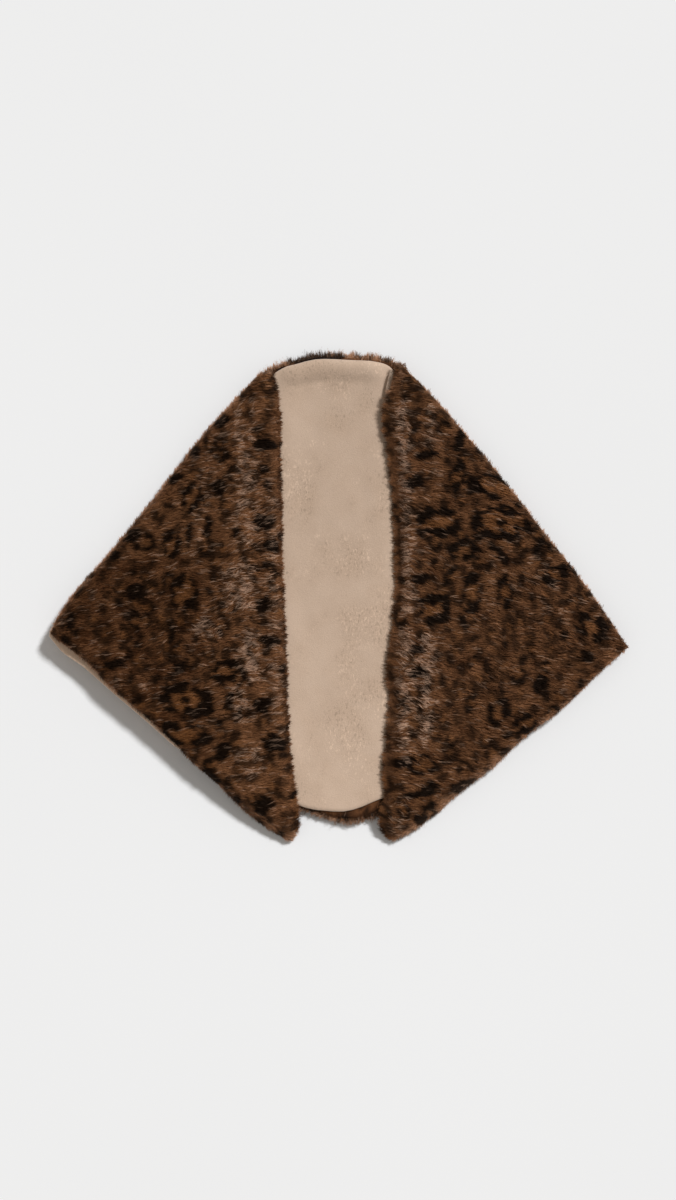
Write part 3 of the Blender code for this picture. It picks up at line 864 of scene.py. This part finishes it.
def closed_mesh(name, rings):
    """A closed mesh through rings of equally many points, with strips of faces over its two ends."""
    count = len(rings[0])
    form = bmesh.new()
    rows = [[form.verts.new(point) for point in ring] for ring in rings]
    for near, far in zip(rows, rows[1:]):
        for k in range(count):
            form.faces.new((near[k - 1], near[k], far[k], far[k - 1]))
    half = count // 2
    for row in (rows[0], rows[-1]):
        form.faces.new((row[0], row[1], row[-1]))
        form.faces.new((row[half], row[half + 1], row[half - 1]))
        for k in range(1, half - 1):
            form.faces.new((row[k], row[k + 1], row[-k - 1], row[-k]))
    bmesh.ops.recalc_face_normals(form, faces=form.faces)
    mesh = bpy.data.meshes.new(name)
    form.to_mesh(mesh)
    form.free()
    mesh.shade_smooth()
    return mesh


def sampler(solid, from_above, shift=None):
    """A function that gives a solid's upper or lower side at many places, moved by a field of its own."""

    def heights(plan):
        found = np.array([height(solid, x, y, from_above) for x, y in plan], float)
        known = np.flatnonzero(~np.isnan(found))
        found = np.interp(np.arange(len(found)), known, found[known])
        return found if shift is None else found + shift(plan)

    return heights


def lining_relief(plan):
    """Soft unevenness of the lining: long swells, and the dents that its handling left."""
    relief = sum(rise * waves(plan, length, seed) for rise, length, seed in SWELLS)
    for row in LINING_DENTS:
        relief -= along_row(plan, row, row.depth * MM, *DENT_FADE)
    return relief


def steps(first, last, step):
    return np.linspace(first, last, round((last - first) / step) + 1)


def lay_lining(node, axis, stations, step, material):
    solid = solid_of(node)
    tops, lows = sampler(solid, True, lining_relief), sampler(solid, False)
    rings = shell_rings(solid, axis, stations, step, 0.0, LINING_RIM, tops, lows)
    piece = add_piece(node + "_plush", closed_mesh(node + "_plush", rings), material)
    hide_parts(node)
    return piece


def lay_fur_cloth(node, solid, axis, step, depth, marks, material, slope=None):
    """The cloth under the pile, with the dense underfur on it."""
    low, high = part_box(node)
    stations = steps(low[axis] + CLOTH_END, high[axis] - CLOTH_END, step)
    lows = sampler(solid, False)
    tops = sampler(solid, True, lambda plan: -depth + 0.0005 * waves(plan, 0.012, 41))
    rings = shell_rings(
        solid, axis, stations, step, CLOTH_INSET, CLOTH_RIM,
        lambda plan: np.maximum(eased(plan, tops(plan), slope), lows(plan) + CLOTH_LEAST),
        lambda plan: lows(plan) + CLOTH_LIFT,
    )
    mesh = closed_mesh(node + "_cloth", rings)
    places = points_of(mesh)
    dark, warm = print_at(places, marks)
    set_fields(mesh, dark=dark, warm=warm, tone=0.5 + 0.3 * waves(places, 0.010, 42))
    piece = add_piece(node + "_cloth", mesh, material)
    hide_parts(node)
    return piece


def set_fields(mesh, **fields):
    for name, values in fields.items():
        layer = mesh.attributes.new(name, "FLOAT", "POINT")
        layer.data.foreach_set("value", np.ascontiguousarray(values, np.float32))


def scatter(solid, count, rng):
    """Random places on a solid with their outward directions, where it faces up or sideways."""
    corners = solid.corners
    a, b, c = (solid.places[corners[:, k]] for k in range(3))
    facing = np.cross(b - a, c - a)
    areas = np.linalg.norm(facing, axis=1)
    level = facing[:, 2] / (areas + 1e-15)
    areas *= 1 + EDGE_DENSITY * np.clip(1 - level, 0, 1)
    areas[level < LOWEST_FACING] = 0
    chosen = rng.choice(len(areas), count, p=areas / areas.sum())
    u, v = rng.random((2, count))
    over = u + v > 1
    u[over], v[over] = 1 - u[over], 1 - v[over]
    weights = np.column_stack((1 - u - v, u, v))[:, :, None]
    places = (solid.places[corners[chosen]] * weights).sum(1)
    normals = unit((solid.normals[corners[chosen]] * weights).sum(1))
    return places, normals


def unit(vectors):
    return vectors / (np.linalg.norm(vectors, axis=1, keepdims=True) + 1e-12)


def cells_at(along, across, length, width, seed):
    """Each place's cell of a staggered grid: how far it is to its middle line and end, and its numbers."""
    table = np.random.default_rng(seed).random((CELLS, 5))
    row = np.floor(across / width).astype(np.int64)
    start = along / length + table[row % CELLS, 0]
    column = np.floor(start).astype(np.int64)
    own = table[((row * CELL_PRIMES[0]) ^ (column * CELL_PRIMES[1])) % CELLS]
    to_middle = (row + 0.5) * width - across
    to_end = (1 - (start - column)) * length
    return to_middle, to_end, own


def nap_frame(places, level, nap, edge):
    """How far along and across the nap each place lies; on an edge, how high and how far along the edge."""
    along, across = turned(places[:, 0], places[:, 1], nap)
    along = along + 0.004 * waves(places, 0.045, 54)
    across = across + 0.0016 * waves(places, 0.026, 55)
    round_edge = places[:, 1] * level[:, 0] - places[:, 0] * level[:, 1] + 0.3 * places[:, 2]
    on_edge = edge > 0.6
    return np.where(on_edge, places[:, 2] * 0.6, along), np.where(on_edge, round_edge, across)


def fringe_reach(places, level, fringes, share):
    """How far past the solid each hair of an edge reaches, from its share between least and most."""
    least, most = (np.full(len(level), value) for value in EDGE_FRINGE)
    for fringe in fringes:
        there = soft_step(*FRINGE_TURNED, level[:, 0] * fringe.facing_x + level[:, 1] * fringe.facing_y)
        there = there * soft_step(fringe.above, fringe.above + 0.010, places[:, 1])
        least += (fringe.least - least) * there
        most += (fringe.most - most) * there
    return least + (most - least) * share


def room_inside(tree, tips, along, length):
    """How long each hair may be for its root to stay inside the solid."""
    lengths = length.copy()
    for k, (tip, back) in enumerate(zip(tips.tolist(), (-along).tolist())):
        start = Vector(tip)
        run = Vector(back)
        facing, _, away = tree.ray_cast(start, run, lengths[k])[1:]
        if away is None:
            above = tree.ray_cast(start, Vector((0.0, 0.0, 1.0)))[1]
            if above is None or above.z < 0:
                lengths[k] = STRAY_HAIR
            continue
        if facing.dot(run) < 0:
            inner = tree.ray_cast(start + run * (away + SKIN), run, lengths[k])[3]
            away = 1.0 if inner is None else away + SKIN + inner
        lengths[k] = min(lengths[k], max(ROOT_INSIDE_SHARE * away, SHORTEST_HAIR))
    return lengths


def bed_under(points, bed):
    """The least height of each point of a hair: clear of the floor, and of the bare strip of lining."""
    along_strip = (points[:, 1] > STRIP_LOW) & (points[:, 1] < STRIP_HIGH)
    return np.where(along_strip & (np.abs(points[:, 0]) < STRIP_RIGHT), bed, LOWEST_HAIR)


def slope_of(node, solid):
    """The line of a front's inner edge, and the height of its lower side there, from which its pile rises."""
    low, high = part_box(node)
    rows = steps(low.y + SLOPE_ENDS[0], high.y - SLOPE_ENDS[1], CLOTH_STEP)
    edge = np.array([span(solid, 1, y)[0] for y in rows])
    foot = np.array([height(solid, x + SLOPE_FOOT_AT, y, False) for x, y in zip(edge, rows)])
    return Slope(rows, edge, foot + SLOPE_FOOT_LIFT)


def risen(places, slope):
    """How far up the inner slope each place lies: 0 at the edge, and 1 from the slope's top on."""
    if slope is None:
        return np.ones(len(places))
    inward = (places[:, 0] - np.interp(places[:, 1], slope.rows, slope.edge)) / SLOPE_WIDTH
    inward = np.clip(inward, 0, 1)
    return np.maximum(inward * (1.5 - 0.5 * inward), soft_step(*SLOPE_FADES, places[:, 1]))


def eased(places, heights, slope):
    """Heights drawn down to the lining towards the inner edge."""
    if slope is None:
        return heights
    foot = np.interp(places[:, 1], slope.rows, slope.foot)
    return heights - np.maximum(heights - foot, 0) * (1 - risen(places, slope))


def lay_hairs(
    name, solid, places, normals, nap, fringes, marks, pile, material, rng, bed=LOWEST_HAIR, slope=None
):
    """One mesh of tapered hairs, of two triangles each, whose tips lie at the places given."""
    count = len(places)
    level = unit(normals * (1.0, 1.0, 0.0))
    edge = soft_step(*EDGE_AT, 1 - normals[:, 2])
    along_nap, across_nap = nap_frame(places, level, nap, edge)
    to_middle, to_end, lock = cells_at(along_nap, across_nap, pile.lock_length, pile.lock_width, 5)
    off_tuft, before_tuft, tuft = cells_at(along_nap + 0.004, across_nap, TUFT_LENGTH, TUFT_WIDTH, 6)
    up = risen(places, slope)
    # Share of the painted light on tilted places and edges, and of the edge hairs' turn to the light; on the
    # left front's inner edge it is below 0, which paints shade.
    lit = up * (1 - (1 - INNER_EDGE_LIT) * soft_step(*INNER_EDGE_AT, level[:, 0]))
    tilted = soft_step(*TILTED_AT, 1 - normals[:, 2]) * lit
    rim = edge * lit
    off_slope = soft_step(*SLOPE_HIGHLIGHT, up)
    # How strong the painted highlight is at each place; none on the inner slope.
    frost = frost_at(places) * off_slope
    tousled = np.clip(frost + soft_step(*TOUSLED_BELOW, places[:, 1]), 0, 1)
    swing = tousled * TUFT_SWING * (tuft[:, 1] - 0.5)
    in_tuft, aside_tuft = TUFT_LENGTH / 2 - before_tuft, -off_tuft
    strand_along = in_tuft * np.cos(swing) + aside_tuft * np.sin(swing) + TUFT_APART * tuft[:, 0]
    strand_across = aside_tuft * np.cos(swing) - in_tuft * np.sin(swing) + TUFT_APART * tuft[:, 4]
    off_strand, _, strand = cells_at(strand_along, strand_across, STRAND_LENGTH, STRAND_WIDTH, 8)
    frosted = np.where(strand[:, 3] < PALE_SHARE[0] + PALE_SHARE[1] * frost, off_slope, 0.0)

    # The way from root to tip.
    turn = nap + 0.16 * waves(places, 0.070, 51) + 0.14 * waves(places, 0.014, 52)
    turn += LOCK_TURN * (lock[:, 0] - 0.5) + rng.normal(0, 0.08 + 0.12 * tousled, count)
    turn += swing + tousled * (tuft[:, 2] - 0.4) * off_tuft / TUFT_WIDTH
    comb = level_steps(turn, 1.0)
    comb = comb - normals * (comb * normals).sum(1, keepdims=True)
    stand = np.clip(edge + 0.25 * frosted * frost, 0, 1.2)
    lean = pile.lean + pile.stand * stand + LOCK_LEAN * (lock[:, 1] - 0.5)
    lean = np.clip(lean + rng.normal(0, 0.08, count), *LEAN_LIMITS)
    along = comb * np.cos(lean)[:, None] + normals * np.sin(lean)[:, None]
    along[:, 2] -= EDGE_DROOP * edge
    along = unit(along + rng.normal(0, EDGE_SPREAD, (count, 3)) * edge[:, None])

    # Where the tips lie.
    reach = rng.normal(*HAIR_REACH, count) + LOCK_REACH * (lock[:, 2] - 0.5)
    reach -= LOCK_ROUND * np.abs(to_middle) / pile.lock_width
    share = np.clip(0.55 * lock[:, 2] + 0.55 * rng.random(count) ** 1.3, 0, 1)
    reach = reach * (1 - edge) + fringe_reach(places, level, fringes, share) * edge
    loose = rng.random(count) < FLYAWAY_SHARE
    reach[loose] += rng.random(loose.sum()) * FLYAWAY_REACH
    tips = places + normals * reach[:, None]

    # Roots and bends, after which the tips are drawn together in locks.
    length = pile.length * rng.uniform(*HAIR_LENGTHS, count)
    length = room_inside(solid.tree, tips, along, length)
    roots = tips - along * length[:, None]
    aside = unit(np.cross(normals, along))
    tips += aside * (LOCK_DRAW * to_middle * (1 - tousled) + STRAND_DRAW * off_strand)[:, None]
    tips += comb * (LOCK_DRAW * (1 - edge) * to_end)[:, None]
    bow = HAIR_BOW * rng.uniform(0.5, 1.4, count) * np.clip(length / pile.length, 0, 1)
    sway = TUFT_SWAY * tousled * (tuft[:, 3] - 0.5) + rng.normal(0, 0.0002, count)
    bends = roots + (tips - roots) * HAIR_MIDDLE + normals * bow[:, None] + aside * sway[:, None]

    # The flat side of each hair.
    facing = normals + np.array(ROUND_HAIR) + np.array(EDGE_UP) * edge[:, None]
    facing += np.array(EDGE_TURN) * rim[:, None]
    facing = unit(facing - np.array((SLOPE_TILT, 0.0, 0.0)) * (1 - soft_step(0, 0.8, up))[:, None])
    flat = unit(np.cross(facing, along))
    roll = rng.normal(0, HAIR_ROLL, count) * (1 + 0.3 * edge)
    side = flat * np.cos(roll)[:, None] + np.cross(along, flat) * np.sin(roll)[:, None]
    half = (pile.width / 2 * rng.uniform(*HAIR_WIDTHS, count) * (1 + 0.35 * frosted))[:, None]
    points = np.stack((roots, bends - side * half, bends + side * half, tips), 1).reshape(-1, 3)
    points[:, 2] = np.maximum(eased(points, points[:, 2], slope), bed_under(points, bed))

    # Colours of the four points of each hair: root, both sides of the bend, and tip.
    spread = rng.normal(0, PRINT_SPREAD, (count, 3))
    combed = level_steps(turn, PRINT_COMBED)
    at_tip = print_at(tips - combed + spread, marks)
    at_bend = print_at(bends + combed + spread, marks)
    dark, warm = (np.stack((bend, bend, bend, tip), 1) for bend, tip in zip(at_bend, at_tip))
    # Tone, with painted light on tilted places and in the highlight bands, and painted shade in the left
    # front's outer corner.
    tone = TONE + TONE_WAVES * waves(places, 0.030, 53) + rng.normal(0, HAIR_TONE, count)
    tone += LOCK_TONE * (lock[:, 4] - 0.5) + STRAND_TONE * (strand[:, 1] - 0.5)
    tone += HIGHLIGHT_TONE * frost + EDGE_TONE * tilted - painted_shade_at(places) * (1 - tilted)
    # Painted highlight on the highlighted hairs, and painted light on tilted places and edges.
    pale = PALE_LEAST + (1 - PALE_LEAST) * np.clip(frost + 0.35 * strand[:, 0], 0, 1)
    light = frosted * pale * np.clip(0.50 + 0.60 * strand[:, 2] + rng.normal(0, 0.12, count), 0, 1)
    light = light[:, None] * (1 - MARK_ON_HIGHLIGHT * dark)
    unmarked = 1 - MARK_ON_EDGE * dark
    light += (TILTED_PAINTED_LIGHT * tilted * rng.random(count))[:, None] * unmarked
    light += (EDGE_PAINTED_LIGHT * rim * rng.random(count))[:, None] * EDGE_PAINTED_LIGHT_UP * unmarked
    # Place along each hair for the darker root and painted shade, lifted on edges as painted light.
    up_hair = np.array((0.0, HAIR_MIDDLE, HAIR_MIDDLE, 1.0))
    up_hair = up_hair + EDGE_ROOT_LIGHT * rim[:, None] * (1 - up_hair)

    mesh = bpy.data.meshes.new(name)
    base = np.arange(count)[:, None] * 4
    faces = np.concatenate((base + (0, 2, 1), base + (1, 2, 3)), 1).reshape(-1, 3)
    mesh.from_pydata(points, [], faces)
    set_fields(
        mesh,
        dark=dark.ravel(),
        warm=warm.ravel(),
        tone=np.repeat(np.clip(tone, 0, 1), 4),
        frost=np.clip(light, 0, 1).ravel(),
        along=up_hair.ravel(),
    )
    map_hairs(mesh, roots, nap)
    return add_piece(name, mesh, material)


def level_steps(turn, distance):
    """A level step of one length in each direction."""
    return np.column_stack((np.cos(turn), np.sin(turn), np.zeros(len(turn)))) * distance


def map_hairs(mesh, roots, nap):
    """A map of the hairs by the places of their roots, for baking."""
    low, high = roots[:, :2].min(0), roots[:, :2].max(0)
    run = np.array((math.cos(nap), math.sin(nap))) * MAPPED_HAIR[0]
    aside = np.array((-math.sin(nap), math.cos(nap))) * MAPPED_HAIR[1]
    flat = roots[:, None, :2] + np.array((0 * run, run / 2 - aside, run / 2 + aside, run))
    flat = 0.01 + 0.98 * np.clip((flat - low) / (high - low), 0, 1)
    corners = flat[:, (0, 2, 1, 1, 2, 3)].reshape(-1, 2)
    layer = mesh.uv_layers.new(name="OFBake")
    layer.data.foreach_set("uv", corners.astype(np.float32).ravel())


def uncovered(places, covers, reach=0.003):
    """Which places have none of the other solids close above them."""
    up = Vector((0, 0, 1))
    return np.array([
        all(tree.ray_cast(Vector(place), up, reach)[0] is None for tree in covers)
        for place in places.tolist()
    ])


def all_marks():
    """The whole print: the large marks and the small ones between them."""
    (left, low, _), (right, high, _) = cad_box
    return LARGE_MARKS + small_marks((left, right, low, high), LARGE_MARKS, 61)


class SCARF_OT_lining(Operator):
    """Lay the plush lining of the back and of both fronts"""

    bl_idname = "scarf.lining"
    bl_label = "Plush Lining"

    def execute(self, context):
        material = plush_material(context.scene.scarf.lining)
        low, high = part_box("back_lining")
        columns = np.concatenate((
            steps(low.x + LINING_END, STRIP_LEFT, HIDDEN_STEP)[:-1],
            steps(STRIP_LEFT, STRIP_RIGHT, STRIP_STEP),
            steps(STRIP_RIGHT, high.x - LINING_END, HIDDEN_STEP)[1:],
        ))
        back = lay_lining("back_lining", 0, columns, LINING_STEP, material)
        for node in ("left_front_lining", "right_front_lining"):
            low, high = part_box(node)
            rows = steps(low.y + LINING_END, high.y - LINING_END, CLOTH_STEP)
            front = lay_lining(node, 1, rows, CLOTH_STEP, material)
        return {"FINISHED"}


class SCARF_OT_fur(Operator):
    """Lay the fur: its cloth with the underfur, and the pile on it"""

    bl_idname = "scarf.fur"
    bl_label = "Printed Fur"

    def execute(self, context):
        settings = context.scene.scarf
        marks = all_marks()
        cloth = fur_cloth_material(settings.colours)
        hair = pile_material(settings.colours)
        rng = np.random.default_rng(settings.pile.seed)
        depth = settings.pile.underfur_depth
        bed = height(solid_of("back_lining"), 0.0, 0.0) + LOWEST_HAIR

        for node, nap, fringes in (
            ("left_front_fur", LEFT_NAP, LEFT_FRINGES),
            ("right_front_fur", RIGHT_NAP, RIGHT_FRINGES),
        ):
            solid = solid_of(node)
            slope = slope_of(node, solid) if node == "right_front_fur" else None
            base = lay_fur_cloth(node, solid, 1, CLOTH_STEP, depth, marks, cloth, slope)
            places, normals = scatter(solid, FRONT_PIECES * HAIRS_IN_PIECE, rng)
            order = np.argsort(places[:, 1])
            for k, part in enumerate(np.array_split(order, FRONT_PIECES)):
                lay_hairs(
                    f"{node}_pile_{k + 1}", solid, places[part], normals[part], nap, fringes, marks,
                    settings.pile, hair, rng, bed, slope,
                )

        solid = solid_of("back_fur")
        base = lay_fur_cloth("back_fur", solid, 0, CLOTH_STEP, 0.0, marks, cloth)
        places, normals = scatter(solid, RIM_TRIES * HAIRS_IN_RIM, rng)
        rim = rim_only(places, normals)
        places, normals = places[rim], normals[rim]
        covers = [solid_of(node).tree for node in sorted(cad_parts) if node != "back_fur"]
        seen = uncovered(places, covers)
        places, normals = places[seen][:HAIRS_IN_RIM], normals[seen][:HAIRS_IN_RIM]
        pile = lay_hairs(
            "back_fur_pile", solid, places, normals, BACK_NAP, BACK_FRINGES, marks, settings.pile, hair, rng
        )
        return {"FINISHED"}


def rim_only(places, normals):
    """Which places of the back lie on its rim, or on its deck near the nape, and not on its underside."""
    sideways = np.hypot(normals[:, 0], normals[:, 1])
    return (sideways > RIM_SIDEWAYS) | ((places[:, 1] < RIM_DECK_BELOW) & (normals[:, 2] > 0.5))


class SCARF_OT_stage(Operator):
    """Set the floor, the light and the camera"""

    bl_idname = "scarf.stage"
    bl_label = "Stage"

    def execute(self, context):
        look = context.scene.scarf.stage
        scene = context.scene
        bpy.ops.mesh.primitive_plane_add(size=FLOOR_SIZE)
        floor = context.object
        floor.name = "floor"
        floor.data.materials.append(floor_material(look.floor))

        key = bpy.data.objects.new("key", bpy.data.lights.new("key", "SUN"))
        key.data.energy = look.key_strength
        key.data.angle = look.key_size
        key.data.color = KEY_COLOUR
        towards = Vector((
            math.sin(look.key_side) * math.cos(look.key_height),
            math.cos(look.key_side) * math.cos(look.key_height),
            math.sin(look.key_height),
        ))
        key.rotation_euler = towards.to_track_quat("Z", "Y").to_euler()
        scene.collection.objects.link(key)

        world = bpy.data.worlds.new("studio")
        world.use_nodes = True
        light = world.node_tree.nodes["Background"]
        light.inputs["Color"].default_value = FILL_COLOUR
        light.inputs["Strength"].default_value = look.fill
        scene.world = world
        scene.view_settings.view_transform = "Standard"

        camera = bpy.data.objects.new("camera", bpy.data.cameras.new("camera"))
        camera.location = (*PICTURE_MIDDLE, look.camera_height)
        camera.data.sensor_width = SENSOR
        camera.data.lens = SENSOR * (look.camera_height - SHARP_HEIGHT) / PICTURE_LONG_SIDE
        scene.collection.objects.link(camera)
        scene.camera = camera
        return {"FINISHED"}


class SCARF_PT_panel(Panel):
    """Lists what builds the scarf"""

    bl_idname = "SCARF_PT_panel"
    bl_label = "Hooded Scarf"
    bl_space_type = "VIEW_3D"
    bl_region_type = "UI"
    bl_category = "Scarf"

    def draw(self, context):
        settings = context.scene.scarf
        for title, group in (
            ("Pile", settings.pile),
            ("Print", settings.colours),
            ("Lining", settings.lining),
            ("Stage", settings.stage),
        ):
            box = self.layout.box()
            box.label(text=title)
            for name in group.__annotations__:
                box.prop(group, name)
        for operator in (SCARF_OT_lining, SCARF_OT_fur, SCARF_OT_stage):
            self.layout.operator(operator.bl_idname)


CLASSES = (
    ScarfPile,
    ScarfPrint,
    ScarfLining,
    ScarfStage,
    ScarfSettings,
    SCARF_OT_lining,
    SCARF_OT_fur,
    SCARF_OT_stage,
    SCARF_PT_panel,
)


def register():
    for cls in CLASSES:
        bpy.utils.register_class(cls)
    bpy.types.Scene.scarf = PointerProperty(type=ScarfSettings)


def unregister():
    del bpy.types.Scene.scarf
    for cls in reversed(CLASSES):
        bpy.utils.unregister_class(cls)


def main():
    register()
    bpy.ops.scarf.lining()
    bpy.ops.scarf.fur()
    bpy.ops.scarf.stage()


if __name__ == "__main__":
    main()
